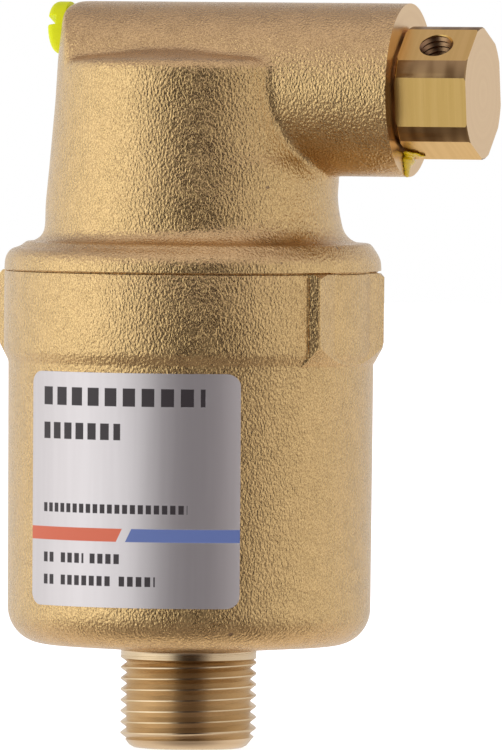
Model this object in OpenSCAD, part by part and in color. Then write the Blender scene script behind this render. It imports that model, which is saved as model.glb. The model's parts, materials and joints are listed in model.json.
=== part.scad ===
// Automatic air vent for a heating or hot-water line.
// A float in a brass cup opens the outlet valve when air collects and shuts it when water comes.
// The origin is where the pipe thread meets the underside of the cup, on the body axis.
// Z points up through the vent and X points along the outlet boss.

/* [Pipe thread] */

// outside diameter of the pipe thread
thread_d = 16.66; // [16:0.01:17.4]
// length of the thread below the cup
thread_l = 12; // [9:0.5:16]
// diameter of the inlet bore
inlet_d = 11; // [9:0.5:12]

/* [Cup] */

// outside radius of the cup wall at its foot
cup_r = 22.24; // [21.5:0.01:23]
// outside radius of the cup wall under the band
cup_top_r = 22.38; // [21.5:0.01:23]
// outside radius of the round band at the mouth
band_r = 22.9; // [22.4:0.1:24]
// height of the mouth of the cup
seam_z = 46.4; // [42:0.1:52]
// inside radius of the float room
room_r = 19.2; // [18.6:0.1:19.6]
// distance across the two wrench pads
pad_af = 45; // [44:0.5:47]
// width of one wrench pad
pad_w = 16.4; // [12:0.2:18]
// turn of the wrench pads away from the outlet
pad_turn = -11.8; // [-20:0.1:20]

/* [Cap] */

// radius of the flange that closes the cup
flange_r = 23.4; // [22.5:0.1:24]
// radius of the cap cone at its foot
cone_r = 17.95; // [17:0.1:19]
// radius of the cap cone at its shelf
cone_top_r = 16.6; // [16:0.1:18]
// height of the shelf on top of the cone
shelf_z = 72.5; // [70:0.1:75]
// outside radius of the outlet tube
tube_r = 10.6; // [9.5:0.1:11.5]
// height of the middle of the cast outlet tube
tube_z = 68.8; // [66:0.1:70]
// height of the bored axis of valve and plug
axis_z = 68.5; // [66:0.1:70]
// distance from the body axis to the machined boss face
boss_x = 27.7; // [26:0.1:32]

/* [Vent plug] */

// distance across the flats of the plug
plug_af = 15; // [14:1:17]
// diameter the corners of the plug are turned to
plug_d = 16.16; // [15.5:0.01:17]
// length of the plug's hexagon
plug_l = 9; // [6:0.1:14]
// diameter of the threaded outlet hole in the plug
vent_d = 4.2; // [3:0.1:5]
// turn of the outlet hole from the front toward the top
vent_turn = 51.5; // [0:0.5:90]

/* [Float] */

// outside radius of the float
float_r = 17.8; // [17:0.1:18.2]
// height of the float
float_h = 28; // [24:0.5:29]
// thickness of the float wall
float_wall = 1; // [0.8:0.1:1.5]

/* [Lever] */

// length of the lever arm that the float lifts
long_arm = 13; // [12.8:0.05:13.2]
// length of the lever arm that moves the stem
short_arm = 5; // [4.9:0.05:5.1]
// droop of the lever with the float down
droop = 6.6; // [6:0.1:7]

/* [Label] */

// width of the rating label around the cup, in degrees
label_span = 74.4; // [60:0.1:90]
// direction of the middle of the label
label_turn = -93.9; // [-120:0.1:-60]
// lower edge of the label
label_z = 5.95; // [5:0.05:12]
// height of the label
label_h = 28.45; // [20:0.05:29.4]

/* [Hidden] */

fit = 0.05;
sliver = 0.01;
thread_r = thread_d / 2;
pad_r = norm([pad_af, pad_w]) / 2;
floor_z = 3.6;
wall_top_z = 35.2;
spigot_r = 19.93;
mouth_r = 20;
spigot_z = 39.2;
groove_z = 44;
groove_h = 1.9;
groove_r = 18.4;
roof_z = 69;
room_top_r = 14;
stem_bore_r = 4.6;
seat_bore_r = 5.2;
seat_x = 17.9;
plug_bore_r = 6.5;
plug_bore_x = 23.2;
plug_gap = 0.3;
vent_gap = 4.65;
pivot_x = 4;
pivot_z = axis_z - short_arm;
skirt_shift = 0.8;
cone_waist = [[17.3, 61.5], [16.86, 67]];
pin_r = 1;
hub_r = 2;
hub_half = 3.2;
link_r = 0.5;
link_x = pivot_x - long_arm * cos(droop) - 0.04;
link_y = 1.9;
link_z = pivot_z - long_arm * sin(droop);
prong_x = pivot_x - short_arm * sin(droop);
stem_r = 1.2;
collar_gap = 0.95;
pad_x = 15.6;
float_z = 6.2;
guard_z = 47;
duct_x = -12.3;
screw_x = -15.7;
screw_z = 76.1;
bracket_screw = [-7, 4.7];

brass = [0.78, 0.63, 0.36];
bright = [0.85, 0.70, 0.40];
steel = [0.72, 0.73, 0.75];
plastic = [0.90, 0.88, 0.82];
rubber = [0.10, 0.10, 0.11];
lacquer = [0.84, 0.87, 0.10];

// points on an arc
function arc(x, z, r, a0, a1, n = 8) =
    [for (i = [0:n]) let (a = a0 + (a1 - a0) * i / n) [x + r * cos(a), z + r * sin(a)]];

// a shape that stands along the outlet axis, starting at x
module along(x, z = axis_z) translate([x, 0, z]) rotate([0, 90, 0]) children();

// a rod across the vent, along Y
module across(x, y0, y1, z, r, fn = 32)
    translate([x, y0, z]) rotate([-90, 0, 0]) cylinder(h = y1 - y0, r = r, $fn = fn);

// one wrench pad, before the float room is cut away
module wrench_pad(turn) {
    intersection() {
        rotate([0, 0, turn]) translate([0, 0, 34]) linear_extrude(height = 13)
            polygon([[pad_af / 2 - 3, -pad_w / 2 - 1.4], [pad_af / 2, -pad_w / 2],
                     [pad_af / 2, pad_w / 2], [pad_af / 2 - 3, pad_w / 2 + 1.4]]);
        rotate_extrude($fn = 120)
            polygon([[0, 35], [cup_top_r - 0.1, 35], [pad_r, 37.9], [pad_r, seam_z - 0.9],
                     [pad_r - 0.6, seam_z], [0, seam_z]]);
    }
}

// cup with the inlet thread
module lower_body() {
    color(brass) difference() {
        union() {
            rotate_extrude($fn = 120)
                polygon(concat([[0, -thread_l], [thread_r - 1.2, -thread_l],
                                [thread_r, -thread_l + 1.2], [thread_r, 0]],
                               arc(cup_r - 4.5, 5.2, 4.5, -90, 0),
                               [[cup_top_r, wall_top_z], [band_r - 0.4, 35.8],
                                [band_r, 37.4], [band_r, seam_z - 0.3],
                                [band_r - 0.3, seam_z], [0, seam_z]]));
            wrench_pad(pad_turn);
            wrench_pad(pad_turn + 180);
        }
        rotate_extrude($fn = 120)
            polygon(concat([[0, floor_z]], arc(room_r - 3, floor_z + 3, 3, -90, 0),
                           [[room_r, 37.8], [mouth_r, 38.6], [mouth_r, seam_z + 1],
                            [0, seam_z + 1]]));
        translate([0, 0, -thread_l - 1])
            cylinder(h = thread_l + floor_z + 2, r = inlet_d / 2, $fn = 64);
        translate([0, 0, -thread_l - 0.01])
            cylinder(h = 0.8, r1 = inlet_d / 2 + 0.8, r2 = inlet_d / 2, $fn = 64);
    }
}

// outside of the cap: flange, cone and outlet tube
module cap_outside() {
    rotate_extrude($fn = 120)
        polygon(concat([[0, seam_z + sliver], [flange_r - 0.9, seam_z + sliver],
                        [flange_r, seam_z + 0.3]],
                       arc(flange_r - 2.3, 47.2, 2.3, 0, 60),
                       arc(cone_r + 1.95, 51.8, 1.9, -80, -175),
                       [[cone_r, 54.6]], cone_waist,
                       arc(cone_top_r - 1.4, shelf_z - 1.5, 1.5, 4, 90), [[0, shelf_z]]));
    // the casting spreads a little further toward the outlet side
    translate([skirt_shift, 0, 0]) rotate_extrude($fn = 120)
        polygon(concat([[0, 48], [flange_r - 1.2, 48], [cone_r + 4, 48.8]],
                       arc(cone_r + 2.25, 52.5, 2.6, -70, -175),
                       [[17.25, 54], [17.05, 55.5], [17.2, 58], [17.1, 60], [0, 60]]));
    intersection() {
        along(-18, tube_z) cylinder(h = boss_x + 18, r = tube_r, $fn = 96);
        union() {
            rotate_extrude($fn = 120)
                polygon(concat([[0, 56], [cone_r - 0.2, 56]], cone_waist,
                               [[cone_top_r, shelf_z - 0.5]],
                               arc(cone_top_r - 3, tube_z + tube_r - 2.3, 2.5, 4, 90),
                               [[0, tube_z + tube_r + 0.2]]));
            translate([0, -15, 50]) cube([40, 30, 40]);
        }
    }
}

// room inside the cap
module cap_room() {
    difference() {
        rotate_extrude($fn = 96)
            polygon([[0, spigot_z - 1], [17.2, spigot_z - 1], [17.2, 48], [15.3, 50],
                     [room_top_r, roof_z], [0, roof_z]]);
        along(7.6) cylinder(h = 10, r = 7.4, $fn = 64);
    }
    along(-2) cylinder(h = seat_x + 2, r = stem_bore_r, $fn = 64);
}

// cap with the outlet tube
module upper_body() {
    color(brass) difference() {
        union() {
            cap_outside();
            rotate_extrude($fn = 120)
                polygon([[0, spigot_z], [spigot_r - 0.5, spigot_z], [spigot_r, spigot_z + 0.5],
                         [spigot_r, groove_z], [groove_r, groove_z],
                         [groove_r, groove_z + groove_h], [spigot_r, groove_z + groove_h],
                         [spigot_r, seam_z + 1], [0, seam_z + 1]]);
        }
        cap_room();
        along(seat_x - 0.1) cylinder(h = 10, r = seat_bore_r, $fn = 64);
        along(plug_bore_x) cylinder(h = 10, r = plug_bore_r, $fn = 64);
        // duct from the roof to the test screw
        translate([duct_x, 0, roof_z - 1])
            cylinder(h = screw_z - roof_z + 1, r = 0.8, $fn = 24);
        translate([-20, 0, screw_z]) rotate([0, 90, 0])
            cylinder(h = 20 + duct_x + 0.8, r = 0.8, $fn = 24);
        translate([-20, 0, screw_z]) rotate([0, 90, 0]) cylinder(h = 5.6, r = 2.05, $fn = 48);
        // flat seat for the head of the test screw
        translate([screw_x - 4, 0, screw_z]) rotate([0, 90, 0])
            cylinder(h = 4, r = 3.5, $fn = 64);
        for (s = [-1, 1]) translate([bracket_screw[0], s * bracket_screw[1], roof_z - 1])
            cylinder(h = 4.5, r = 1.55, $fn = 32);
    }
}

// ring that seals the cap in the cup
module body_seal() {
    color(rubber) translate([0, 0, groove_z + groove_h / 2])
        rotate_extrude($fn = 96) translate([19.2, 0]) circle(r = 0.77, $fn = 24);
}

// ring with three feet that keeps the float off the inlet
module float_rest() {
    color(plastic) difference() {
        union() {
            translate([0, 0, 4.6]) rotate_extrude($fn = 72)
                polygon([[8.2, 0], [10.4, 0], [10.4, 1.5], [8.2, 1.5]]);
            for (k = [0:2]) rotate([0, 0, 120 * k + 30]) translate([8.4, -1.2, floor_z + sliver])
                cube([7, 2.4, 2.49]);
        }
        translate([0, 0, 4.3]) cylinder(h = 3, r = 8.2, $fn = 72);
    }
}

// hollow float, open at the top
module float_shell() {
    color(plastic) rotate_extrude($fn = 96)
        polygon(concat([[0, float_z]], arc(float_r - 2, float_z + 2, 2, -90, 0),
                       [[float_r, float_z + float_h], [float_r - float_wall, float_z + float_h]],
                       arc(float_r - 2, float_z + 2, 1, 0, -90), [[0, float_z + float_wall]]));
}

// lid welded into the float, with the boss for the link rod
module float_lid() {
    top = float_z + float_h;
    color(plastic) difference() {
        union() {
            translate([0, 0, top - 1.4])
                cylinder(h = 1.3, r = float_r - float_wall - 0.02, $fn = 96);
            translate([link_x, link_y, top - 1]) cylinder(h = 3, r1 = 2, r2 = 1.5, $fn = 48);
        }
        translate([link_x, link_y, top - 0.6]) cylinder(h = 5, r = link_r + 0.02, $fn = 32);
    }
}

// rod from the float to the lever, with the cross pin
module link_rod() {
    color(steel) {
        translate([link_x, link_y, float_z + float_h - 0.58])
            cylinder(h = link_z - float_z - float_h + 0.58 + 0.7, r = link_r, $fn = 32);
        across(link_x, -1.8, link_y, link_z, link_r);
    }
}

// clip on the end of the cross pin
module link_clip() {
    color(steel) difference() {
        across(link_x, -1.5, -1.1, link_z, 1.1);
        across(link_x, -2, -1, link_z, link_r + sliver);
    }
}

// guard that keeps splashes off the valve
module splash_guard() {
    color(plastic) difference() {
        union() {
            translate([0, 0, guard_z]) cylinder(h = 0.8, r = 17.1, $fn = 96);
            translate([0, 0, guard_z - 2]) difference() {
                cylinder(h = 2.5, r = 17.1, $fn = 96);
                translate([0, 0, -1]) cylinder(h = 5, r = 16.2, $fn = 96);
            }
        }
        translate([link_x, link_y, guard_z - 1]) cylinder(h = 3, r = 1.3, $fn = 32);
        for (k = [0:5]) rotate([0, 0, 60 * k]) translate([12.2, 0, guard_z - 1])
            cylinder(h = 3, r = 1.8, $fn = 32);
    }
}

// bell crank between the float and the stem
module lever() {
    color(steel) difference() {
        union() {
            across(pivot_x, -hub_half, hub_half, pivot_z, hub_r, 48);
            translate([pivot_x, 0, pivot_z]) rotate([0, -droop, 0]) {
                translate([-long_arm, -0.9, -0.9]) cube([long_arm, 1.8, 1.8]);
                translate([-long_arm, -0.9, 0]) rotate([-90, 0, 0])
                    cylinder(h = 1.8, r = 1.35, $fn = 32);
                for (s = [-2, 2]) {
                    translate([-0.55, s - 0.6, 0]) cube([1.1, 1.2, short_arm]);
                    translate([0, s - 0.6, short_arm]) rotate([-90, 0, 0])
                        cylinder(h = 1.2, r = 0.9, $fn = 32);
                }
            }
        }
        across(pivot_x, -5, 5, pivot_z, pin_r + fit, 32);
        translate([pivot_x, 0, pivot_z]) rotate([0, -droop, 0]) {
            for (d = [-0.15, 0.15]) translate([-long_arm + d, -2, 0]) rotate([-90, 0, 0])
                cylinder(h = 4, r = link_r + 0.06, $fn = 32);
            translate([-long_arm - 0.15, -2, -link_r - 0.06]) cube([0.3, 4, 2 * link_r + 0.12]);
        }
    }
}

// pin the lever turns on
module lever_pin() {
    color(steel) across(pivot_x, -6, 6, pivot_z, pin_r);
}

// two clips that keep the pin in the bracket
module pin_clips() {
    color(steel) for (s = [-5.2, 5.2]) difference() {
        across(pivot_x, s - 0.3, s + 0.3, pivot_z, 2);
        across(pivot_x, s - 1, s + 1, pivot_z, pin_r + sliver);
    }
}

// bracket under the roof with two ears for the lever pin
module lever_bracket() {
    color(bright) difference() {
        union() {
            translate([-10.6, -7.2, roof_z - 1.2]) cube([7.6, 14.4, 1.2 - sliver]);
            for (s = [-1, 1]) translate([0, s > 0 ? 3.3 : -4.8, 0]) {
                translate([-5, 0, pivot_z - 0.2]) cube([9, 1.5, roof_z - pivot_z]);
                across(pivot_x, 0, 1.5, pivot_z, 2.5, 48);
                translate([pivot_x - 0.5, 0, pivot_z]) cube([3, 1.5, 3]);
            }
        }
        across(pivot_x, -6, 6, pivot_z, pin_r + 0.02);
        for (s = [-1, 1]) translate([bracket_screw[0], s * bracket_screw[1], roof_z - 3])
            cylinder(h = 4, r = 1.6, $fn = 32);
        // room for the screw heads beside the ears
        for (s = [-1, 1]) translate([bracket_screw[0], s * bracket_screw[1], roof_z - 6])
            cylinder(h = 4.8, r = 2.5, $fn = 32);
    }
}

// two screws that hold the bracket
module bracket_screws() {
    color(steel) for (s = [-1, 1]) translate([bracket_screw[0], s * bracket_screw[1], 0])
        difference() {
            union() {
                translate([0, 0, roof_z - 2.7])
                    cylinder(h = 1.5 - sliver, r = 2.3, $fn = 32);
                translate([0, 0, roof_z - 1.5]) cylinder(h = 4.8, r = 1.5, $fn = 32);
            }
            translate([-3, -0.3, roof_z - 3]) cube([6, 0.6, 1]);
        }
}

// stem with the lever collars and the cup for the pad
module valve_stem() {
    left = prong_x - collar_gap;
    right = prong_x + collar_gap;
    color(bright) {
        along(left - 1.6) cylinder(h = 12.9 - left + 1.6, r = stem_r, $fn = 32);
        along(left - 0.9) cylinder(h = 0.9, r = 2.8, $fn = 48);
        along(right) cylinder(h = 0.8, r = 2.8, $fn = 48);
        along(12.8) difference() {
            cylinder(h = 2.4, r = 3.2, $fn = 48);
            translate([0, 0, 1.8]) cylinder(h = 2, r = 2.62, $fn = 48);
        }
    }
}

// rubber pad that closes the seat
module valve_pad() {
    color(rubber) along(14.61) cylinder(h = pad_x - 14.61, r = 2.6, $fn = 48);
}

// closing spring between the guide and the pad cup
module valve_spring() {
    turns = 3;
    steps = 24;
    sides = 8;
    mean_r = 2.4;
    wire_r = 0.25;
    length = 2.1;
    rings = turns * steps + 1;
    points = [for (i = [0:rings - 1]) let (a = 360 * i / steps)
              for (k = [0:sides - 1]) let (b = 360 * k / sides)
              [10.3 + length * i / (rings - 1) + wire_r * sin(b),
               (mean_r + wire_r * cos(b)) * cos(a), axis_z + (mean_r + wire_r * cos(b)) * sin(a)]];
    faces = concat([[for (k = [0:sides - 1]) k]],
                   [for (i = [0:rings - 2]) for (k = [0:sides - 1])
                    [i * sides + k, (i + 1) * sides + k,
                     (i + 1) * sides + (k + 1) % sides, i * sides + (k + 1) % sides]],
                   [[for (k = [0:sides - 1]) rings * sides - 1 - k]]);
    color(steel) polyhedron(points = points, faces = faces);
}

// disc the stem slides in
module stem_guide() {
    color(plastic) along(8) difference() {
        cylinder(h = 2, r = stem_bore_r - 0.01, $fn = 48);
        translate([0, 0, -1]) cylinder(h = 4, r = stem_r + fit, $fn = 32);
        for (k = [0:5]) rotate([0, 0, 60 * k]) translate([3.1, 0, -1])
            cylinder(h = 4, r = 0.7, $fn = 24);
    }
}

// nozzle the pad closes against
module valve_seat() {
    color(bright) difference() {
        union() {
            along(seat_x + sliver)
                cylinder(h = plug_bore_x - seat_x, r = seat_bore_r - 0.01, $fn = 64);
            along(16.8) cylinder(h = 1.5, r1 = 1.5, r2 = 2.2, $fn = 48);
        }
        along(16) cylinder(h = 5, r = 0.75, $fn = 32);
        along(19.5) cylinder(h = 5, r = 2, $fn = 32);
        along(20.4) rotate_extrude($fn = 64) translate([4.2, 0]) square([2, 1.3]);
    }
}

// ring that seals the nozzle
module seat_seal() {
    color(rubber) along(21.05) rotate_extrude($fn = 64)
        translate([4.69, 0]) circle(r = 0.47, $fn = 16);
}

// outlet plug, a hexagon turned round at its corners
module vent_plug() {
    start = boss_x + plug_gap;
    finish = start + plug_l;
    turn = 60 - vent_turn;
    color(bright) difference() {
        union() {
            intersection() {
                along(start) rotate([0, 0, turn])
                    cylinder(h = plug_l, r = plug_af / sqrt(3), $fn = 6);
                along(start) rotate_extrude($fn = 96)
                    polygon([[0, 0], [plug_d / 2, 0], [plug_d / 2, plug_l - 0.15],
                             [plug_d / 2 - 0.15, plug_l], [0, plug_l]]);
            }
            along(plug_bore_x + 0.06)
                cylinder(h = start - plug_bore_x, r = plug_bore_r - 0.02, $fn = 64);
        }
        along(plug_bore_x - 1) cylinder(h = finish - plug_bore_x - 1.4, r = 2.5, $fn = 32);
        translate([boss_x + vent_gap, 0, axis_z]) rotate([90 - vent_turn, 0, 0])
            cylinder(h = plug_af, r = vent_d / 2, $fn = 48);
        along(25) rotate_extrude($fn = 64) translate([5.5, 0]) square([2, 1.3]);
    }
}

// ring that seals the plug in the boss
module plug_seal() {
    color(rubber) along(25.65) rotate_extrude($fn = 64)
        translate([5.99, 0]) circle(r = 0.47, $fn = 16);
}

// drop of lacquer between the boss and the plug
module plug_lacquer() {
    color([0.82, 0.66, 0.12]) intersection() {
        translate([boss_x + sliver, 0, axis_z]) rotate([175, 0, 0]) translate([0, 0, 9])
            sphere(r = 2.2, $fn = 32);
        difference() {
            along(boss_x + sliver, tube_z) cylinder(h = 4, r = tube_r - 0.05, $fn = 96);
            along(boss_x) cylinder(h = 9, r = plug_d / 2 + sliver, $fn = 96);
        }
    }
}

// slotted screw in the test duct, coated with lacquer
module test_screw() {
    color(lacquer) difference() {
        union() {
            translate([screw_x - sliver, 0, screw_z]) rotate([0, -90, 0]) rotate_extrude($fn = 64)
                polygon(concat([[0, 0], [3.3, 0], [3.3, 1.4]],
                               arc(2.3, 1.4, 1, 0, 90, 5), [[0, 2.4]]));
            translate([screw_x - 0.2, 0, screw_z]) rotate([0, 90, 0])
                cylinder(h = 1.4, r = 2, $fn = 48);
        }
        translate([screw_x - 3.5, 0, screw_z]) rotate([-15, 0, 0])
            translate([0, -4, -0.45]) cube([2, 8, 0.9]);
    }
}

// metal foil label around the front of the cup
module rating_label() {
    slope = (cup_top_r - cup_r) / (wall_top_z - 5.2);
    low = cup_r + slope * (label_z - 5.2) + sliver;
    high = low + slope * label_h;
    color([0.80, 0.79, 0.78]) intersection() {
        rotate([0, 0, label_turn - label_span / 2]) rotate_extrude(angle = label_span, $fn = 180)
            polygon([[low, label_z], [low + 0.1, label_z], [high + 0.1, label_z + label_h],
                     [high, label_z + label_h]]);
        rotate([0, 0, label_turn + 90]) translate([0, -15, label_z + label_h / 2])
            rotate([90, 0, 0]) linear_extrude(height = 12) {
                w = 2 * cup_r * sin(label_span / 2) + 0.02;
                square([w, label_h - 3], center = true);
                square([w - 2.4, label_h], center = true);
                for (i = [-1, 1], j = [-1, 1])
                    translate([i * (w / 2 - 1.5), j * (label_h / 2 - 1.5)])
                        circle(r = 1.5, $fn = 32);
            }
    }
}

lower_body();
upper_body();
body_seal();
float_rest();
float_shell();
float_lid();
link_rod();
link_clip();
splash_guard();
lever();
lever_pin();
pin_clips();
lever_bracket();
bracket_screws();
valve_stem();
valve_pad();
valve_spring();
stem_guide();
valve_seat();
seat_seal();
vent_plug();
plug_seal();
plug_lacquer();
test_screw();
rating_label();
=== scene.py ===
import json
import math

import bmesh
import bpy
from mathutils import Matrix, Vector


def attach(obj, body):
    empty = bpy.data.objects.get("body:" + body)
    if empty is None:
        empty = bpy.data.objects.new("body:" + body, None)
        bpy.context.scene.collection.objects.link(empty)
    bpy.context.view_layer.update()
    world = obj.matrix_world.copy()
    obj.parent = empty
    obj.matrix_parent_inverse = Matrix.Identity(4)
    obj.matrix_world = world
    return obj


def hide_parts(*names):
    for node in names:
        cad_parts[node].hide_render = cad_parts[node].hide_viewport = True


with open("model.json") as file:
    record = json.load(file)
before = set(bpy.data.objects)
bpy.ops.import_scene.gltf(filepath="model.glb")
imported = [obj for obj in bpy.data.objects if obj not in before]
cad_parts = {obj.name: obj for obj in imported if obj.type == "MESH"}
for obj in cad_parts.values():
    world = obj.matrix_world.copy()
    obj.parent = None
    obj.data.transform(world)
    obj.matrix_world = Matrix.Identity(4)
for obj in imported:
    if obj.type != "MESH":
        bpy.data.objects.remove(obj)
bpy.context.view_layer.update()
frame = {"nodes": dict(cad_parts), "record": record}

# ---------------------------------------------------------------- sizes, in metres
MM = 0.001
TURN = 2 * math.pi

THREAD_R = 8.33 * MM
THREAD_ROOT_R = 7.56 * MM
THREAD_PITCH = 1.337 * MM
THREAD_END = -12 * MM

CUP_R = 22.24 * MM
CUP_TOP_R = 22.38 * MM
FLOOR_Z = 3.6 * MM
ROOM_R = 19.2 * MM
PAD_FACE = 22.5 * MM
PAD_WIDTH = 16.4 * MM
PAD_DRAFT = 1.4 * MM
PAD_TURN = math.radians(-11.8)

SPIGOT_Z = 39.2 * MM
TUBE_R = 10.6 * MM
TUBE_Z = 68.8 * MM
AXIS_Z = 68.5 * MM
BOSS_X = 27.7 * MM

PLUG_FLATS = 15 * MM
PLUG_ROUND = 16.16 * MM
PLUG_START = 28 * MM
PLUG_END = 37 * MM
PORT_X = 32.35 * MM
PORT_TURN = math.radians(51.5)

SCREW_Z = 76.1 * MM
SCREW_X = -15.7 * MM

LABEL_TURN = math.radians(-93.9)
LABEL_SPAN = math.radians(74.4)
LABEL_LOW = 5.95 * MM
LABEL_HEIGHT = 28.45 * MM
FOIL_THICK = 0.1 * MM

MERGE = 0.002 * MM
TAP_R = 2.22 * MM
TAP_ROOT_R = 1.92 * MM
TAP_PITCH = 0.8 * MM
FOOT_Z = 5.2 * MM
WALL_RISE = 30.3 * MM
SEAM_CUT = 46.42 * MM
SKIRT_SHIFT = 0.8 * MM
FLANGE_SHIFT = 0.17 * MM
STEM_BORE_R = 4.6 * MM
SEAT_BORE_R = 5.2 * MM
PLUG_BORE_R = 6.5 * MM
SLOT_TURN = math.radians(20)
COAT_TILT = math.radians(2)


# ---------------------------------------------------------------- modelling
def deselect():
    """Nothing selected and nothing active, in object mode."""
    if bpy.context.object and bpy.context.object.mode != "OBJECT":
        bpy.ops.object.mode_set(mode="OBJECT")
    bpy.ops.object.select_all(action="DESELECT")


def choose(piece):
    """Only this piece selected and active."""
    deselect()
    piece.select_set(True)
    bpy.context.view_layer.objects.active = piece


def edit(piece, select="SELECT"):
    choose(piece)
    bpy.ops.object.mode_set(mode="EDIT")
    bpy.ops.mesh.select_all(action=select)


def done():
    bpy.ops.object.mode_set(mode="OBJECT")


def settle(piece):
    """Put the piece's place and turn into its mesh."""
    choose(piece)
    bpy.ops.object.transform_apply(location=True, rotation=True, scale=True)


def close_up(piece):
    """Merge doubles and point every face outwards."""
    edit(piece)
    bpy.ops.mesh.remove_doubles(threshold=MERGE)
    bpy.ops.mesh.select_all(action="SELECT")
    bpy.ops.mesh.normals_make_consistent(inside=False)
    done()


def smooth(piece, angle=30):
    choose(piece)
    bpy.ops.object.shade_smooth_by_angle(angle=math.radians(angle))


def keep_flat(piece, test):
    """Faces that pass the test are shaded flat, up to their edges."""
    for face in piece.data.polygons:
        if test(face):
            face.use_smooth = False


def apply_all(piece):
    choose(piece)
    for modifier in list(piece.modifiers):
        bpy.ops.object.modifier_apply(modifier=modifier.name)


def arc(x, z, radius, start, finish, steps=8):
    """Points on an arc, angles in degrees."""
    turns = [math.radians(start + (finish - start) * i / steps) for i in range(steps + 1)]
    return [(x + radius * math.cos(a), z + radius * math.sin(a)) for a in turns]


def scaled(points):
    """An outline written in millimetres, in metres."""
    return [(x * MM, z * MM) for x, z in points]


def line(name, points):
    """A line of edges through (radius, height) points, drawn by extruding one vertex."""
    deselect()
    bpy.ops.mesh.primitive_plane_add(size=MM)
    piece = bpy.context.object
    piece.name = name
    edit(piece)
    bpy.ops.mesh.merge(type="CENTER")
    here = (0, 0)
    for i, point in enumerate(points):
        step = (point[0] - here[0], 0, point[1] - here[1])
        if i == 0:
            bpy.ops.transform.translate(value=step)
        else:
            bpy.ops.mesh.extrude_region_move(TRANSFORM_OT_translate={"value": step})
        here = point
    done()
    return piece


def lathe(name, points, steps=160, along_x=None, sweep=TURN):
    """A turned piece from its outline. along_x stands it on the outlet axis at that x."""
    piece = line(name, points)
    edit(piece)
    bpy.ops.mesh.spin(steps=steps, angle=sweep, center=(0, 0, 0), axis=(0, 0, 1))
    done()
    if along_x is not None:
        piece.rotation_euler = (0, math.pi / 2, 0)
        piece.location = (along_x, 0, AXIS_Z)
        settle(piece)
    close_up(piece)
    return piece


def rod(name, radius, start, finish, steps=64):
    """A plain round tool along the outlet axis, between two x."""
    return lathe(name, [(0, 0), (radius, 0), (radius, finish - start), (0, finish - start)],
                 steps, along_x=start)


def block(name, low, high):
    """A box between two corners."""
    deselect()
    bpy.ops.mesh.primitive_cube_add(size=1)
    piece = bpy.context.object
    piece.name = name
    piece.location = (Vector(low) + Vector(high)) / 2
    piece.scale = Vector(high) - Vector(low)
    settle(piece)
    return piece


def combine(piece, tool, operation):
    """Cut, join or intersect a piece with a tool, which is then thrown away."""
    modifier = piece.modifiers.new(operation, "BOOLEAN")
    modifier.operation = operation
    modifier.solver = "EXACT"
    modifier.object = tool
    apply_all(piece)
    bpy.data.objects.remove(tool)
    return piece


def cut(piece, tool):
    return combine(piece, tool, "DIFFERENCE")


def fuse(piece, tool):
    return combine(piece, tool, "UNION")


def slice_off(piece, place, normal):
    """Cut the piece flat at a plane, drop what lies on the normal's side and fill the cut."""
    edit(piece)
    bpy.ops.mesh.bisect(plane_co=place, plane_no=normal, use_fill=True,
                        clear_outer=True, clear_inner=False)
    done()


def bevel(piece, width, angle=35, segments=2):
    modifier = piece.modifiers.new("Bevel", "BEVEL")
    modifier.width = width
    modifier.segments = segments
    modifier.limit_method = "ANGLE"
    modifier.angle_limit = math.radians(angle)
    apply_all(piece)


def cast(piece, voxel, passes):
    """Melt the joints of a piece together, as a casting's fillets."""
    remesh = piece.modifiers.new("Remesh", "REMESH")
    remesh.mode = "VOXEL"
    remesh.voxel_size = voxel
    remesh.adaptivity = 0
    relax = piece.modifiers.new("Smooth", "SMOOTH")
    relax.factor = 0.5
    relax.iterations = passes
    apply_all(piece)


def threaded_rod(name, crest, root, pitch, low, high, steps=96, phase=0):
    """A right-hand V thread between two heights, filled at both ends.

    phase, in turns, sets where the crests stand.
    """
    turns = math.ceil((high - low) / pitch) + 3
    start = low - (1 + phase) * pitch
    flat = 0.06 * pitch
    piece = line(name, [(root, start), (crest, start + pitch / 2 - flat),
                        (crest, start + pitch / 2 + flat), (root, start + pitch)])
    screw = piece.modifiers.new("Screw", "SCREW")
    screw.axis = "Z"
    screw.screw_offset = pitch
    screw.iterations = turns
    screw.steps = steps
    screw.render_steps = steps
    screw.use_merge_vertices = True
    screw.merge_threshold = MERGE
    apply_all(piece)
    close_up(piece)
    slice_off(piece, (0, 0, high), (0, 0, 1))
    slice_off(piece, (0, 0, low), (0, 0, -1))
    close_up(piece)
    return piece


def paint(piece, materials, choose_slot=None):
    """Give the piece its materials. choose_slot picks a slot from a face's centre and normal."""
    piece.data.materials.clear()
    for material in materials:
        piece.data.materials.append(material)
    if choose_slot:
        for face in piece.data.polygons:
            face.material_index = choose_slot(face.center, face.normal)


# ---------------------------------------------------------------- shader groups
def new_group(name, inputs, outputs):
    """An empty node group with named sockets: (name, kind, default)."""
    group = bpy.data.node_groups.new(name, "ShaderNodeTree")
    for label, kind, value in inputs:
        socket = group.interface.new_socket(label, in_out="INPUT", socket_type=kind)
        if value is not None:
            socket.default_value = value
    for label, kind in outputs:
        group.interface.new_socket(label, in_out="OUTPUT", socket_type=kind)
    start = group.nodes.new("NodeGroupInput")
    finish = group.nodes.new("NodeGroupOutput")
    return group, start.outputs, finish.inputs


def math_node(tree, operation, first, second=None, clamp=False):
    node = tree.nodes.new("ShaderNodeMath")
    node.operation = operation
    node.use_clamp = clamp
    for socket, value in zip(node.inputs, (first, second)):
        if value is None:
            continue
        if isinstance(value, (int, float)):
            socket.default_value = value
        else:
            tree.links.new(value, socket)
    return node.outputs[0]


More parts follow.
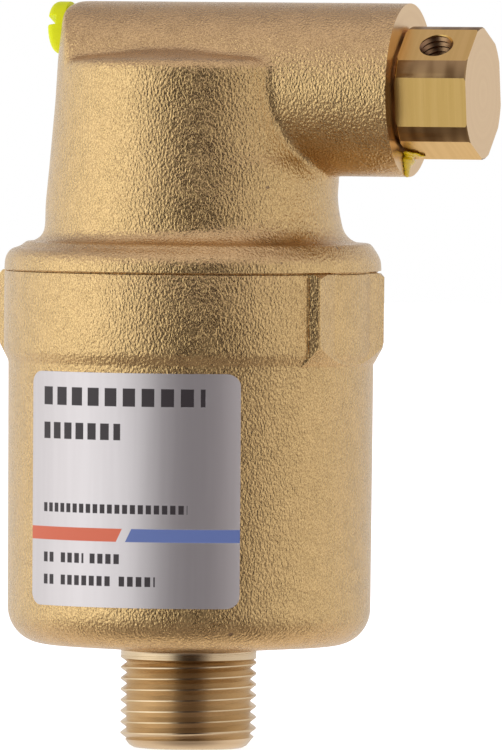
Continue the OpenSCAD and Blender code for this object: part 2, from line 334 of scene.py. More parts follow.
def noise(tree, vector, scale, detail=2.0, roughness=0.5):
    node = tree.nodes.new("ShaderNodeTexNoise")
    tree.links.new(vector, node.inputs["Vector"])
    node.inputs["Detail"].default_value = detail
    node.inputs["Roughness"].default_value = roughness
    if isinstance(scale, (int, float)):
        node.inputs["Scale"].default_value = scale
    else:
        tree.links.new(scale, node.inputs["Scale"])
    return node.outputs["Fac"]


def stretched(tree, vector, scale):
    """The coordinates squeezed or stretched along each axis."""
    node = tree.nodes.new("ShaderNodeMapping")
    node.inputs["Scale"].default_value = scale
    tree.links.new(vector, node.inputs["Vector"])
    return node.outputs["Vector"]


def ramp(tree, value, low, high):
    """A smooth 0 to 1 as the value goes from low to high."""
    node = tree.nodes.new("ShaderNodeMapRange")
    node.interpolation_type = "SMOOTHSTEP"
    node.inputs["From Min"].default_value = low
    node.inputs["From Max"].default_value = high
    tree.links.new(value, node.inputs["Value"])
    return node.outputs["Result"]


def blend(tree, factor, first, second):
    """Mix two colours, each a socket or a tuple."""
    node = tree.nodes.new("ShaderNodeMix")
    node.data_type = "RGBA"
    tree.links.new(factor, node.inputs["Factor"])
    for socket, value in ((node.inputs[6], first), (node.inputs[7], second)):
        if isinstance(value, tuple):
            socket.default_value = value
        else:
            tree.links.new(value, socket)
    return node.outputs[2]


def cast_skin_group():
    """Shot-blasted casting: pebbles, fine grit, a few pits and changes of tone."""
    group, inside, outside = new_group(
        "Cast skin",
        [("Vector", "NodeSocketVector", None), ("Grain", "NodeSocketFloat", 1500.0)],
        [("Height", "NodeSocketFloat"), ("Pits", "NodeSocketFloat"),
         ("Tone", "NodeSocketFloat"), ("Specks", "NodeSocketFloat")])
    vector = inside["Vector"]
    pulled = stretched(group, vector, (1.0, 1.0, 0.7))
    pebbles = noise(group, pulled, inside["Grain"], 1.0, 0.4)
    grit = noise(group, pulled, math_node(group, "MULTIPLY", inside["Grain"], 2.1), 2.0, 0.6)
    waves = noise(group, vector, math_node(group, "MULTIPLY", inside["Grain"], 0.12), 1.0, 0.5)
    spots = noise(group, vector, math_node(group, "MULTIPLY", inside["Grain"], 0.24), 0.0, 0.5)
    pits = ramp(group, spots, 0.88, 0.93)
    height = math_node(group, "MULTIPLY_ADD", grit, 0.45)
    group.links.new(ramp(group, pebbles, 0.2, 0.8), height.node.inputs[2])
    height = math_node(group, "ADD", height, math_node(group, "MULTIPLY", waves, 0.4))
    height = math_node(group, "SUBTRACT", height, math_node(group, "MULTIPLY", pits, 0.5))
    group.links.new(height, outside["Height"])
    group.links.new(pits, outside["Pits"])
    group.links.new(ramp(group, waves, 0.3, 0.7), outside["Tone"])
    group.links.new(ramp(group, grit, 0.38, 0.62), outside["Specks"])
    return group


def tool_marks_group():
    """Fine parallel marks from a cutting tool, along whichever axis isn't stretched."""
    group, inside, outside = new_group(
        "Tool marks",
        [("Vector", "NodeSocketVector", None), ("Marks", "NodeSocketFloat", 4000.0)],
        [("Height", "NodeSocketFloat"), ("Tone", "NodeSocketFloat")])
    fine = noise(group, inside["Vector"], inside["Marks"], 2.0, 0.6)
    broad = noise(group, inside["Vector"], math_node(group, "MULTIPLY", inside["Marks"], 0.22),
                  1.0, 0.5)
    height = math_node(group, "ADD", fine, broad)
    group.links.new(height, outside["Height"])
    group.links.new(ramp(group, broad, 0.3, 0.7), outside["Tone"])
    return group


def printed_bar_group():
    """1 inside a rectangle on the label, 0 outside. Across and Up are in millimetres."""
    group, inside, outside = new_group(
        "Printed bar",
        [("Across", "NodeSocketFloat", 0.0), ("Up", "NodeSocketFloat", 0.0),
         ("Left", "NodeSocketFloat", 0.0), ("Right", "NodeSocketFloat", 1.0),
         ("Low", "NodeSocketFloat", 0.0), ("High", "NodeSocketFloat", 1.0)],
        [("Mask", "NodeSocketFloat")])
    mask = None
    for value, edge, sign in (("Across", "Left", 1), ("Across", "Right", -1),
                              ("Up", "Low", 1), ("Up", "High", -1)):
        gap = math_node(group, "SUBTRACT", inside[value], inside[edge])
        side = math_node(group, "MULTIPLY_ADD", gap, 16.0 * sign, clamp=True)
        side.node.inputs[2].default_value = 0.5
        mask = side if mask is None else math_node(group, "MINIMUM", mask, side)
    group.links.new(mask, outside["Mask"])
    return group


CAST_SKIN = cast_skin_group()
TOOL_MARKS = tool_marks_group()
PRINTED_BAR = printed_bar_group()


def new_material(name, metallic=0.0, roughness=0.5, **constants):
    """A material with its Principled shader and Object coordinates."""
    material = bpy.data.materials.new(name)
    material.use_nodes = True
    tree = material.node_tree
    shader = tree.nodes["Principled BSDF"]
    shader.inputs["Metallic"].default_value = metallic
    shader.inputs["Roughness"].default_value = roughness
    for label, value in constants.items():
        shader.inputs[label.replace("_", " ")].default_value = value
    place = tree.nodes.new("ShaderNodeTexCoord").outputs["Object"]
    return material, tree, shader, place


def use_group(tree, group, **values):
    node = tree.nodes.new("ShaderNodeGroup")
    node.node_tree = group
    for label, value in values.items():
        if isinstance(value, (int, float)):
            node.inputs[label].default_value = value
        else:
            tree.links.new(value, node.inputs[label])
    return node


def emboss(tree, shader, height, depth, strength=1.0):
    """Feed a height, in units of depth, to the shader's normal."""
    bump = tree.nodes.new("ShaderNodeBump")
    bump.inputs["Strength"].default_value = strength
    bump.inputs["Distance"].default_value = depth
    tree.links.new(height, bump.inputs["Height"])
    tree.links.new(bump.outputs["Normal"], shader.inputs["Normal"])


# ---------------------------------------------------------------- materials
def cast_brass():
    material, tree, shader, place = new_material("cast_brass", 0.98, 0.26, Coat_Weight=0.4,
                                                 Coat_Roughness=0.4)
    skin = use_group(tree, CAST_SKIN, Vector=place, Grain=3700.0)
    tone = blend(tree, skin.outputs["Tone"], (0.77, 0.53, 0.235, 1), (0.84, 0.58, 0.26, 1))
    dull = blend(tree, skin.outputs["Tone"], (0.48, 0.31, 0.13, 1), (0.54, 0.35, 0.15, 1))
    colour = blend(tree, skin.outputs["Specks"], dull, tone)
    colour = blend(tree, skin.outputs["Pits"], colour, (0.30, 0.19, 0.10, 1))
    tree.links.new(colour, shader.inputs["Base Color"])
    rough = math_node(tree, "MULTIPLY_ADD", skin.outputs["Tone"], 0.06)
    rough.node.inputs[2].default_value = 0.24
    tree.links.new(rough, shader.inputs["Roughness"])
    emboss(tree, shader, skin.outputs["Height"], 0.067 * MM)
    return material


def turned_brass(name, stretch, marks, depth, low, high, roughness):
    material, tree, shader, place = new_material(name, 1.0, roughness)
    lines = use_group(tree, TOOL_MARKS, Vector=stretched(tree, place, stretch), Marks=marks)
    tree.links.new(blend(tree, lines.outputs["Tone"], low, high), shader.inputs["Base Color"])
    emboss(tree, shader, lines.outputs["Height"], depth)
    return material


def faced_brass():
    """A face cut on the lathe: rings round the outlet axis."""
    material, tree, shader, place = new_material("faced_brass", 1.0, 0.30)
    parts = tree.nodes.new("ShaderNodeSeparateXYZ")
    tree.links.new(place, parts.inputs["Vector"])
    up = math_node(tree, "SUBTRACT", parts.outputs["Z"], AXIS_Z)
    radius = math_node(tree, "SQRT", math_node(
        tree, "ADD", math_node(tree, "MULTIPLY", up, up),
        math_node(tree, "MULTIPLY", parts.outputs["Y"], parts.outputs["Y"])))
    rings = tree.nodes.new("ShaderNodeCombineXYZ")
    tree.links.new(radius, rings.inputs["X"])
    lines = use_group(tree, TOOL_MARKS, Vector=rings.outputs["Vector"], Marks=5000.0)
    tree.links.new(blend(tree, lines.outputs["Tone"], (0.76, 0.53, 0.29, 1),
                         (0.79, 0.56, 0.31, 1)), shader.inputs["Base Color"])
    emboss(tree, shader, lines.outputs["Height"], 0.004 * MM)
    return material


def moulded(name, low, high, roughness, depth, **constants):
    """Moulded plastic or rubber with a fine grain."""
    material, tree, shader, place = new_material(name, 0.0, roughness, **constants)
    skin = use_group(tree, CAST_SKIN, Vector=place, Grain=2600.0)
    tree.links.new(blend(tree, skin.outputs["Tone"], low, high), shader.inputs["Base Color"])
    emboss(tree, shader, skin.outputs["Height"], depth)
    return material


def drawn_steel():
    material, tree, shader, place = new_material("drawn_steel", 1.0, 0.28)
    lines = use_group(tree, TOOL_MARKS, Vector=stretched(tree, place, (1.0, 0.06, 1.0)),
                      Marks=6000.0)
    tree.links.new(blend(tree, lines.outputs["Tone"], (0.50, 0.50, 0.51, 1),
                         (0.62, 0.62, 0.63, 1)), shader.inputs["Base Color"])
    emboss(tree, shader, lines.outputs["Height"], 0.004 * MM)
    return material


# dark print as rows of plain upright blocks, in millimetres on the label:
# left, right, low, high and the step from block to block
DARK_ROWS = [(2.5, 24.7, 24.4, 26.6, 2.4), (2.5, 14.2, 20.3, 22.3, 1.8),
             (2.5, 22.6, 11.4, 12.5, 1.0), (2.5, 4.6, 5.3, 6.5, 1.1), (5.6, 9.2, 5.3, 6.5, 1.1),
             (10.1, 14.3, 5.3, 6.5, 1.1), (2.5, 4.6, 2.6, 3.8, 1.1), (5.6, 13.2, 2.6, 3.8, 1.1),
             (14.1, 18.7, 2.6, 3.8, 1.1)]
BLOCK_SHARE = 0.66
STRIPE = (8.0, 9.6)
STRIPE_SPLIT = 10.3


def printed_foil():
    """Brushed foil with two coloured stripes and plain dark bars."""
    material, tree, shader, place = new_material("printed_foil", 0.8, 0.4)
    parts = tree.nodes.new("ShaderNodeSeparateXYZ")
    tree.links.new(place, parts.inputs["Vector"])
    turn = math_node(tree, "ARCTAN2", parts.outputs["Y"], parts.outputs["X"])
    start = LABEL_TURN - LABEL_SPAN / 2
    across = math_node(tree, "MULTIPLY", math_node(tree, "SUBTRACT", turn, start),
                       CUP_TOP_R / MM)
    up = math_node(tree, "DIVIDE", math_node(tree, "SUBTRACT", parts.outputs["Z"], LABEL_LOW),
                   MM)

    def bar(position, left, right, low, high):
        return use_group(tree, PRINTED_BAR, Across=position, Up=up, Left=left, Right=right,
                         Low=low, High=high).outputs["Mask"]

    dark = None
    for left, right, low, high, step in DARK_ROWS:
        count = math_node(tree, "DIVIDE", math_node(tree, "SUBTRACT", across, left), step)
        block = math_node(tree, "LESS_THAN", math_node(tree, "FRACT", count), BLOCK_SHARE)
        mask = math_node(tree, "MULTIPLY", bar(across, left, right, low, high), block)
        dark = mask if dark is None else math_node(tree, "MAXIMUM", dark, mask)
    slant = math_node(tree, "SUBTRACT", across, math_node(tree, "MULTIPLY", up, 0.5))
    # a slant value is the distance across where the edge meets the label's foot
    warm = bar(slant, -9.0, STRIPE_SPLIT - 0.6, *STRIPE)
    cool = bar(slant, STRIPE_SPLIT + 0.6, 40.0, *STRIPE)
    brushing = use_group(tree, TOOL_MARKS, Vector=stretched(tree, place, (1.0, 1.0, 0.05)),
                         Marks=5000.0)
    foil = blend(tree, brushing.outputs["Tone"], (0.63, 0.59, 0.59, 1), (0.65, 0.61, 0.61, 1))
    colour = blend(tree, dark, foil, (0.030, 0.022, 0.024, 1))
    colour = blend(tree, warm, colour, (0.62, 0.13, 0.06, 1))
    colour = blend(tree, cool, colour, (0.10, 0.15, 0.36, 1))
    tree.links.new(colour, shader.inputs["Base Color"])
    ink = math_node(tree, "MAXIMUM", dark, math_node(tree, "MAXIMUM", warm, cool))
    metal = math_node(tree, "SUBTRACT", 0.8, ink, clamp=True)
    tree.links.new(metal, shader.inputs["Metallic"])
    rough = math_node(tree, "MULTIPLY_ADD", ink, 0.12)
    rough.node.inputs[2].default_value = 0.38
    tree.links.new(rough, shader.inputs["Roughness"])
    emboss(tree, shader, brushing.outputs["Height"], 0.001 * MM)
    return material


def amber_lacquer():
    material, tree, shader, place = new_material("amber_lacquer", 0.0, 0.22,
                                                 Transmission_Weight=0.3, IOR=1.45)
    skin = use_group(tree, CAST_SKIN, Vector=place, Grain=500.0)
    tree.links.new(blend(tree, skin.outputs["Tone"], (0.66, 0.44, 0.004, 1),
                         (0.76, 0.54, 0.006, 1)), shader.inputs["Base Color"])
    emboss(tree, shader, skin.outputs["Height"], 0.006 * MM)
    return material


CAST = cast_brass()
THREAD = turned_brass("thread_brass", (0.08, 0.08, 1.0), 5000.0, 0.008 * MM,
                      (0.66, 0.50, 0.31, 1), (0.75, 0.59, 0.39, 1), 0.27)
FLATS = turned_brass("plug_brass", (1.0, 0.03, 0.03), 9000.0, 0.005 * MM,
                     (0.70, 0.46, 0.15, 1), (0.75, 0.50, 0.175, 1), 0.32)
# the turned corner strips of the hexagon get a far darker base colour: painted shade for the
# dark reflection they show
SHADED_CORNERS = turned_brass("corner_brass_painted_shade", (1.0, 0.3, 0.3), 2600.0, 0.012 * MM,
                       (0.22, 0.13, 0.055, 1), (0.40, 0.26, 0.12, 1), 0.42)
# the walls of the drilling and the tapped port get a dark base colour: painted shade inside the
# holes
SHADED_BORE = turned_brass("bore_painted_shade", (1.0, 1.0, 1.0), 1200.0, 0.004 * MM,
                       (0.34, 0.20, 0.11, 1), (0.48, 0.30, 0.16, 1), 0.3)
FACED = faced_brass()
STEEL = drawn_steel()
INNER_BRASS = turned_brass("inner_brass", (1.0, 0.08, 0.08), 5000.0, 0.006 * MM,
                           (0.74, 0.54, 0.28, 1), (0.84, 0.64, 0.36, 1), 0.3)
PLASTIC = moulded("white_plastic", (0.72, 0.69, 0.60, 1), (0.80, 0.77, 0.69, 1), 0.48,
                  0.006 * MM)
RUBBER = moulded("seal_rubber", (0.018, 0.018, 0.019, 1), (0.030, 0.030, 0.032, 1), 0.6,
                 0.008 * MM)
# the weak yellow emission is painted light: the coat glows a little so it reads brighter than
# the lamps make it
GLOWING_YELLOW = moulded("yellow_lacquer", (0.62, 0.66, 0.010, 1), (0.70, 0.71, 0.014, 1), 0.4,
                 0.012 * MM, Specular_IOR_Level=0.15, Emission_Color=(0.60, 0.66, 0.0, 1),
                 Emission_Strength=0.2)
AMBER = amber_lacquer()
FOIL = printed_foil()


# ---------------------------------------------------------------- cup
def wrench_pad(turn):
    """One machined flat on the band, chamfered above and below."""
    pad = block("pad", (PAD_FACE - 3 * MM, -PAD_WIDTH / 2, 34.5 * MM),
                (PAD_FACE, PAD_WIDTH / 2, 47 * MM))
    edit(pad, "DESELECT")
    mesh = bmesh.from_edit_mesh(pad.data)
    for vertex in mesh.verts:
        vertex.select_set(vertex.co.x < PAD_FACE - MM)
    mesh.select_flush(True)
    bmesh.update_edit_mesh(pad.data)
    bpy.ops.transform.resize(value=(1, 1 + 2 * PAD_DRAFT / PAD_WIDTH, 1))
    done()
    bevel(pad, 0.15 * MM, 20)
    pad.rotation_euler = (0, 0, turn)
    settle(pad)
    limit = lathe("pad_limit", scaled([(0, 34.9), (22.2, 34.9), (22.6, 35.4), (23.2, 36.4),
                                       (23.7, 37.2), (23.88, 37.9), (23.9, 45.9),
                                       (23.4, 46.38), (0, 46.38)]))
    combine(pad, limit, "INTERSECT")
    return pad


def make_cup():
    outline = scaled([(0, -0.4), (8.2, -0.4), (8.33, -0.1), (8.6, 0.05)]
                     + arc(17.74, 5.2, 4.5, -88, 0, 16)
                     + [(22.37, 35.1), (22.42, 35.35), (22.5, 35.55), (22.82, 36.35),
                        (22.9, 36.65), (22.93, 37), (22.93, 46.1), (22.86, 46.32),
                        (22.7, 46.4), (0, 46.4)])
    cup = lathe("cup", outline, 240)
    for turn in (PAD_TURN, PAD_TURN + math.pi):
        fuse(cup, wrench_pad(turn))
        for side in (-1, 1):
            for x, y, radius in ((21.17, 8.86, 0.21), (22.42, 8.3, 0.13)):
                score = rod("score", radius * MM, 36.2 * MM, 46 * MM, 12)
                score.rotation_euler = (0, -math.pi / 2, 0)
                score.location = (AXIS_Z, 0, 0)
                settle(score)
                score.location = Matrix.Rotation(turn, 3, "Z") @ Vector((x, side * y, 0)) * MM
                settle(score)
                cut(cup, score)
    thread = threaded_rod("thread", THREAD_R, THREAD_ROOT_R, THREAD_PITCH, -12.7 * MM,
                          0.5 * MM, phase=0.23)
    limit = lathe("thread_limit", scaled([(0, -12), (6.7, -12), (7.2, -11.75), (7.62, -11.2),
                                          (9, -9.55), (9, 0.4), (0, 0.4)]), 96)
    combine(thread, limit, "INTERSECT")
    collar = lathe("collar", scaled([(0, -1.3), (7.8, -1.3), (8.3, -1.05), (8.3, 0.45),
                                     (0, 0.45)]), 160)
    fuse(thread, collar)
    fuse(cup, thread)
    room = lathe("room", scaled([(0, 3.6)] + arc(16.2, 6.6, 3, -90, 0)
                                + [(19.2, 37.8), (20, 38.6), (20, 48), (0, 48)]), 160)
    cut(cup, room)
    bore = lathe("bore", scaled([(0, -13), (6.4, -13), (6.4, -12.1), (5.5, -11.2), (5.5, 5),
                                 (0, 5)]), 96)
    cut(cup, bore)
    close_up(cup)
    paint(cup, [CAST, THREAD], lambda centre, normal: int(
        centre.z < -0.05 * MM or math.hypot(centre.x, centre.y) < ROOM_R + MM
        and FLOOR_Z - MM < centre.z and normal.z > -0.9))
    smooth(cup, 32)
    pads = [Matrix.Rotation(turn, 3, "Z") @ Vector((1, 0, 0)) for turn in
            (PAD_TURN, PAD_TURN + math.pi)]
    keep_flat(cup, lambda face: any(face.normal.dot(way) > 0.9995
                                    and face.center.dot(way) > PAD_FACE - 0.02 * MM
                                    for way in pads))
    return cup


# ---------------------------------------------------------------- cap
def make_cap():
    cap = lathe("cap", scaled([(0, 44), (22.5, 44)]
                              + arc(19.9, 51.8, 1.9, -80, -175, 8)
                              + [(17.95, 54.6), (17.3, 61.5), (16.86, 67)]
                              + arc(15.3, 71.2, 1.3, 4, 80, 6)
                              + [(12.5, 72.9), (10, 73.5), (0, 74)]), 200)
    skirt = lathe("skirt", scaled([(0, 48), (22.2, 48), (21.95, 48.8)]
                                  + arc(20.2, 52.5, 2.6, -70, -175)
                                  + [(17.25, 54), (17.05, 55.5), (17.25, 58), (17.1, 60),
                                     (0, 60)]), 200)
    skirt.location = (SKIRT_SHIFT, 0, 0)
    settle(skirt)
    fuse(cap, skirt)
    # the flange stands a little off the middle
    flange = lathe("flange", scaled([(0, 44), (23.1, 44)] + arc(21.0, 47.35, 2.1, 0, 64, 6)
                                    + [(0, 49.3)]), 200)
    flange.location = (FLANGE_SHIFT, 0, 0)
    settle(flange)
    fuse(cap, flange)
    tube = rod("tube", TUBE_R, -18 * MM, BOSS_X + 3 * MM, 160)
    tube.location = (0, 0, TUBE_Z - AXIS_Z)
    settle(tube)
    reach = lathe("reach", scaled([(0, 56), (17.8, 56), (16.86, 67), (16.55, 72.5)]
                                  + arc(13.6, 77.0, 2.45, 4, 90) + [(0, 79.9)]), 160)
    fuse(reach, block("outlet_side", (0, -15 * MM, 50 * MM), (40 * MM, 15 * MM, 90 * MM)))
    combine(tube, reach, "INTERSECT")
    fuse(cap, tube)
    cast(cap, 0.34 * MM, 18)
    slice_off(cap, (BOSS_X, 0, 0), (1, 0, 0))
    slice_off(cap, (0, 0, SEAM_CUT), (0, 0, -1))
    groove = lathe("undercut", scaled([(22.8, 46), (24, 46), (24, 46.66), (23.0, 46.62),
                                       (22.8, 46.42), (22.8, 46)]), 200)
    cut(cap, groove)
    spigot = lathe("spigot", scaled([(0, 39.2), (19.43, 39.2), (19.93, 39.7), (19.93, 44),
                                     (18.4, 44), (18.4, 45.9), (19.93, 45.9), (19.93, 46.6),
                                     (0, 46.6)]), 160)
    fuse(cap, spigot)
    room = lathe("cap_room", scaled([(0, 38), (17.2, 38), (17.2, 48), (15.3, 50), (14, 69),
                                     (0, 69)]), 128)
    cut(room, rod("boss_inside", 7.4 * MM, 7.6 * MM, 17 * MM))
    cut(cap, room)
    cut(cap, rod("stem_bore", STEM_BORE_R, -2 * MM, 18 * MM))
    cut(cap, rod("seat_bore", SEAT_BORE_R, 17.8 * MM, 24 * MM))
    cut(cap, rod("plug_bore", PLUG_BORE_R, 23.2 * MM, 30 * MM))
    seat = rod("screw_seat", 3.4 * MM, -20 * MM, SCREW_X)
    seat.location = (0, 0, SCREW_Z - AXIS_Z)
    settle(seat)
    cut(cap, seat)
    close_up(cap)
    paint(cap, [CAST, FACED], lambda centre, normal: int(
        centre.x > BOSS_X - 0.02 * MM or centre.z < SPIGOT_Z + 7 * MM))
    smooth(cap, 40)
    return cap


# ---------------------------------------------------------------- plug and small pieces
def make_plug():
    deselect()
    bpy.ops.mesh.primitive_cylinder_add(vertices=6, radius=PLUG_FLATS / math.sqrt(3),
                                        depth=PLUG_END - PLUG_START)
    plug = bpy.context.object
    plug.name = "plug"
    # a flat's normal is turned to the port's direction round the outlet axis
    plug.matrix_world = (Matrix.Translation(((PLUG_START + PLUG_END) / 2, 0, AXIS_Z))
                         @ Matrix.Rotation(-PORT_TURN, 4, "X")
                         @ Matrix.Rotation(math.pi / 2, 4, "Y")
                         @ Matrix.Rotation(math.radians(30), 4, "Z"))
    settle(plug)
    length = PLUG_END - PLUG_START
    half = PLUG_ROUND / 2
    turned = lathe("turned", [(0, 0), (half - 0.25 * MM, 0), (half, 0.25 * MM),
                              (half, length - 0.15 * MM), (half - 0.15 * MM, length),
                              (0, length)], 160, along_x=PLUG_START)
    combine(plug, turned, "INTERSECT")
    bevel(plug, 0.09 * MM, 20)
    fuse(plug, rod("shank", 6.48 * MM, 23.26 * MM, PLUG_START + 0.2 * MM, 128))
    cut(plug, rod("drilling", 2.5 * MM, 22 * MM, 34.4 * MM))
    tap = threaded_rod("tap", TAP_R, TAP_ROOT_R, TAP_PITCH, 0, 9 * MM, 48)
    tap.matrix_world = (Matrix.Translation((PORT_X, 0, AXIS_Z))
                        @ Matrix.Rotation(math.pi / 2 - PORT_TURN, 4, "X"))
    settle(tap)
    cut(plug, tap)
    close_up(plug)

    def skin(centre, normal):
        if abs(normal.x) > 0.9 or centre.x < PLUG_START:
            return 1
        reach = math.hypot(centre.y, centre.z - AXIS_Z)
        if reach < PLUG_FLATS / 2 - 0.1 * MM:
            return 3
        return 2 if reach > PLUG_ROUND / 2 - 0.12 * MM else 0

    paint(plug, [FLATS, FACED, SHADED_CORNERS, SHADED_BORE], skin)
    smooth(plug, 25)
    keep_flat(plug, lambda face: face.area > 3 * MM * MM)
    return plug


def make_test_screw():
    """Slotted head under a thick coat of lacquer, with its shank."""
    head = lathe("test_screw_coated", scaled([(0, 0), (3.2, 0), (3.25, 1.3)]
                                             + arc(2.3, 1.4, 0.95, 0, 90, 6) + [(0, 2.35)]), 96)
    slot = block("slot", (-0.6 * MM, -4 * MM, 1.15 * MM), (0.6 * MM, 4 * MM, 3 * MM))
    slot.rotation_euler = (0, 0, SLOT_TURN)
    settle(slot)
    cut(head, slot)
    cast(head, 0.1 * MM, 3)
    # the coat leans down a little, because it ran
    head.rotation_euler = (0, -math.pi / 2 - COAT_TILT, 0)
    head.location = (SCREW_X + 0.1 * MM, 0, SCREW_Z)
    settle(head)
    shank = rod("shank", 2 * MM, SCREW_X - 0.2 * MM, SCREW_X + 1.5 * MM)
    shank.location = (0, 0, SCREW_Z - AXIS_Z)
    settle(shank)
    fuse(head, shank)
    close_up(head)
    paint(head, [GLOWING_YELLOW])
    smooth(head, 50)
    return head


def make_plug_lacquer():
    """Lacquer that ran from the foot of the plug down the boss face and set."""
    # lean toward the front, distance from the axis, reach from the face, half sizes
    drops = [(13, 7.7, 0.5, (0.7, 1.7, 0.25)), (12, 7.7, 1.1, (0.9, 1.2, 0.2)),
             (9, 7.8, 1.8, (0.7, 0.7, 0.15)), (5, 8.3, 0.1, (0.7, 2.2, 0.6)),
             (9, 8.8, 0.1, (0.45, 1.3, 0.8)), (8, 9.5, 0.1, (0.34, 0.95, 0.8)),
             (7, 10.0, 0.1, (0.28, 0.8, 0.42))]
    whole = None
    for lean, away, reach, size in drops:
        deselect()
        bpy.ops.mesh.primitive_ico_sphere_add(subdivisions=4, radius=MM)
        drop = bpy.context.object
        around = math.radians(lean)
        drop.location = (BOSS_X + reach * MM, -away * MM * math.sin(around),
                         AXIS_Z - away * MM * math.cos(around))
        drop.rotation_euler = (-around, 0, 0)
        drop.scale = size
        settle(drop)
        whole = drop if whole is None else fuse(whole, drop)
    whole.name = "sealing_lacquer"
    cast(whole, 0.1 * MM, 16)
    slice_off(whole, (BOSS_X + 0.01 * MM, 0, 0), (-1, 0, 0))
    close_up(whole)
    paint(whole, [AMBER])
    smooth(whole, 60)
    return whole


def make_label():
    """Foil with rounded corners, wrapped round the cup."""
    slope = (CUP_TOP_R - CUP_R) / WALL_RISE
    low = CUP_R + slope * (LABEL_LOW - FOOT_Z) + 0.02 * MM
    high = low + slope * LABEL_HEIGHT
    top = LABEL_LOW + LABEL_HEIGHT
    label = line("label", [(low, LABEL_LOW), (low + FOIL_THICK, LABEL_LOW),
                           (high + FOIL_THICK, top),
                           (high, top), (low, LABEL_LOW)])
    edit(label)
    bpy.ops.mesh.remove_doubles(threshold=MERGE)
    bpy.ops.mesh.select_all(action="SELECT")
    bpy.ops.mesh.edge_face_add()
    bpy.ops.mesh.spin(steps=120, angle=LABEL_SPAN, center=(0, 0, 0), axis=(0, 0, 1))
    done()
    label.rotation_euler = (0, 0, LABEL_TURN + LABEL_SPAN / 2)
    settle(label)
    close_up(label)
    half = (low + 0.1 * MM) * math.sin(LABEL_SPAN / 2)
    stamp = block("stamp", (10 * MM, -half, LABEL_LOW), (30 * MM, half, top))
    edit(stamp, "DESELECT")
    mesh = bmesh.from_edit_mesh(stamp.data)
    for edge in mesh.edges:
        a, b = edge.verts
        edge.select_set(abs(a.co.x - b.co.x) > MM)
    bmesh.update_edit_mesh(stamp.data)
    bpy.ops.mesh.bevel(offset=1.5 * MM, segments=10)
    done()
    stamp.rotation_euler = (0, 0, LABEL_TURN)
    settle(stamp)
    combine(label, stamp, "INTERSECT")
    close_up(label)
    paint(label, [FOIL])
    smooth(label, 30)
    return label


cup = make_cup()
cap = make_cap()
plug = make_plug()
screw = make_test_screw()
lacquer = make_plug_lacquer()
label = make_label()

for piece, node, slot in ((cup, "lower_body", "cast_brass"), (cap, "upper_body", "cast_brass"),
                          (plug, "vent_plug", "turned_brass"),
                          (screw, "test_screw", "yellow_lacquer"),
                          (lacquer, "plug_lacquer", "clear_lacquer"),
                          (label, "rating_label", "foil")):
    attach(piece, "housing")
    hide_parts(node)

CARRIED = {"cast_brass": CAST, "turned_brass": INNER_BRASS, "steel": STEEL,
           "white_plastic": PLASTIC, "seal_rubber": RUBBER, "foil": FOIL,
           "yellow_lacquer": GLOWING_YELLOW, "clear_lacquer": AMBER}
for part in frame["record"]["subparts"]:
    paint(frame["nodes"][part["node"]], [CARRIED[part["material_slot"]]])

# ---------------------------------------------------------------- floor, light and camera
deselect()
bpy.ops.mesh.primitive_circle_add(vertices=96, radius=2.4, fill_type="NGON",
                                  location=(0, 0, THREAD_END - 0.02 * MM))
floor = bpy.context.object
floor.name = "floor"
pale, tree, shader, place = new_material("pale_floor", 0.0, 0.7)
tree.links.new(blend(tree, noise(tree, place, 3.0), (0.86, 0.86, 0.86, 1),
                     (0.90, 0.90, 0.90, 1)), shader.inputs["Base Color"])
shader.inputs["Emission Color"].default_value = (1, 1, 1, 1)
shader.inputs["Emission Strength"].default_value = 0.75
floor.visible_glossy = False
paint(floor, [pale])

CAMERA_TURN = math.radians(17.2)
CAMERA_REACH = 1.6
CAMERA_HEIGHT = 79 * MM
VIEW_HEIGHT = 91.9 * MM
right = Vector((math.cos(CAMERA_TURN), math.sin(CAMERA_TURN), 0))
back = Vector((math.sin(CAMERA_TURN), -math.cos(CAMERA_TURN), 0))


def soft_light(name, turn, height, reach, width, tall, power):
    """An area light at a turn to the right of the camera, aimed at the middle of the vent."""
    data = bpy.data.lights.new(name, "AREA")
    data.shape = "RECTANGLE"
    data.size = width
    data.size_y = tall
    data.energy = power
    light = bpy.data.objects.new(name, data)
    bpy.context.scene.collection.objects.link(light)
    away = Matrix.Rotation(math.radians(turn), 3, "Z") @ back
    middle = Vector((0, 0, 35 * MM))
    light.location = middle + away * reach + Vector((0, 0, height))
    light.rotation_euler = (light.location - middle).to_track_quat("Z", "Y").to_euler()


soft_light("left_box", -75, 0.15, 0.9, 0.6, 1.2, 0.5)
soft_light("top_box", 10, 1.2, 0.4, 1.0, 1.0, 0.4)

# the studio round the vent: degrees to the right of the camera, and brightness
STUDIO = [(-180, 0.80), (-140, 0.95), (-62, 1.22), (-37, 1.24), (-17, 0.03), (15, 0.01),
          (29, 0.27), (43, 0.86), (118, 0.88), (142, 0.80), (180, 0.80)]
CEILING_FRONT = (0.68, 0.63, 0.72, 1)
CEILING_BACK = (0.36, 0.32, 0.36, 1)
LOW_FRONT = (0.26, 0.22, 0.21, 1)
LOW_BACK = (0.95, 0.86, 0.80, 1)


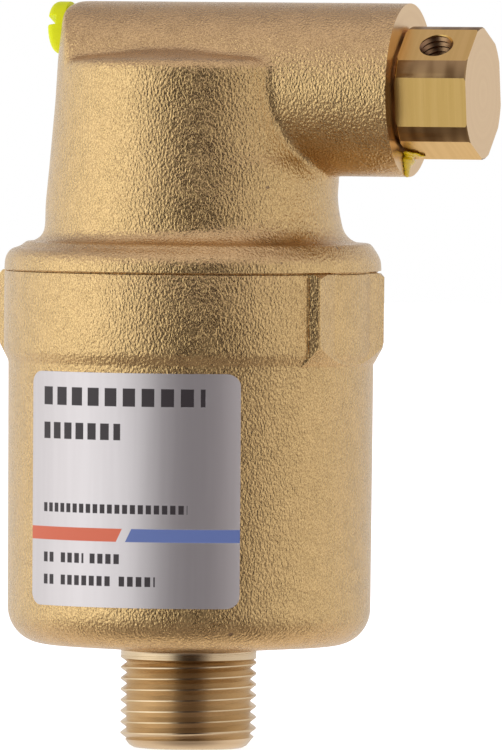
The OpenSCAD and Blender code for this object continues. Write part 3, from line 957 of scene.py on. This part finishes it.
def make_studio():
    world = bpy.data.worlds.new("studio")
    bpy.context.scene.world = world
    world.use_nodes = True
    tree = world.node_tree
    place = tree.nodes.new("ShaderNodeTexCoord").outputs["Generated"]

    def along_axis(direction):
        dot = tree.nodes.new("ShaderNodeVectorMath")
        dot.operation = "DOT_PRODUCT"
        tree.links.new(place, dot.inputs[0])
        dot.inputs[1].default_value = direction
        return dot.outputs["Value"]

    turn = math_node(tree, "ARCTAN2", along_axis(right), along_axis(back))
    wall = tree.nodes.new("ShaderNodeValToRGB")
    share = math_node(tree, "MULTIPLY_ADD", turn, 1 / TURN)
    share.node.inputs[2].default_value = 0.5
    tree.links.new(share, wall.inputs["Fac"])
    stops = wall.color_ramp.elements
    while len(stops) < len(STUDIO):
        stops.new(0.5)
    for stop, (degrees, level) in zip(stops, STUDIO):
        stop.position = (degrees + 180) / 360
        stop.color = (level, level ** 1.1, level ** 1.13, 1)
    height = along_axis((0, 0, 1))
    high = blend(tree, ramp(tree, along_axis(back), -0.2, -0.7), CEILING_FRONT, CEILING_BACK)
    level = blend(tree, ramp(tree, height, 0.30, 0.70), wall.outputs["Color"], high)
    low = blend(tree, ramp(tree, along_axis(back), 0.30, -0.30), LOW_FRONT, LOW_BACK)
    level = blend(tree, ramp(tree, height, -0.22, -0.58), level, low)
    room_light = tree.nodes["Background"]
    tree.links.new(level, room_light.inputs["Color"])
    white = tree.nodes.new("ShaderNodeBackground")
    white.inputs["Color"].default_value = (1, 1, 1, 1)
    path = tree.nodes.new("ShaderNodeLightPath")
    mix = tree.nodes.new("ShaderNodeMixShader")
    tree.links.new(path.outputs["Is Camera Ray"], mix.inputs["Fac"])
    tree.links.new(room_light.outputs["Background"], mix.inputs[1])
    tree.links.new(white.outputs["Background"], mix.inputs[2])
    tree.links.new(mix.outputs["Shader"], tree.nodes["World Output"].inputs["Surface"])


make_studio()

camera_data = bpy.data.cameras.new("camera")
camera = bpy.data.objects.new("camera", camera_data)
bpy.context.scene.collection.objects.link(camera)
middle = right * 7.38 * MM + Vector((0, 0, 33.7 * MM))
camera.location = right * 7.38 * MM + back * CAMERA_REACH + Vector((0, 0, CAMERA_HEIGHT))
aim = (camera.location - middle).to_track_quat("Z", "Y").to_matrix()
camera.rotation_euler = (aim @ Matrix.Rotation(math.radians(0.45), 3, "Z")).to_euler()
camera_data.sensor_fit = "VERTICAL"
camera_data.sensor_height = 24
camera_data.lens = 24 * CAMERA_REACH / VIEW_HEIGHT
camera_data.clip_start = 0.01
camera_data.clip_end = 50
bpy.context.scene.camera = camera
bpy.context.scene.view_settings.view_transform = "Standard"
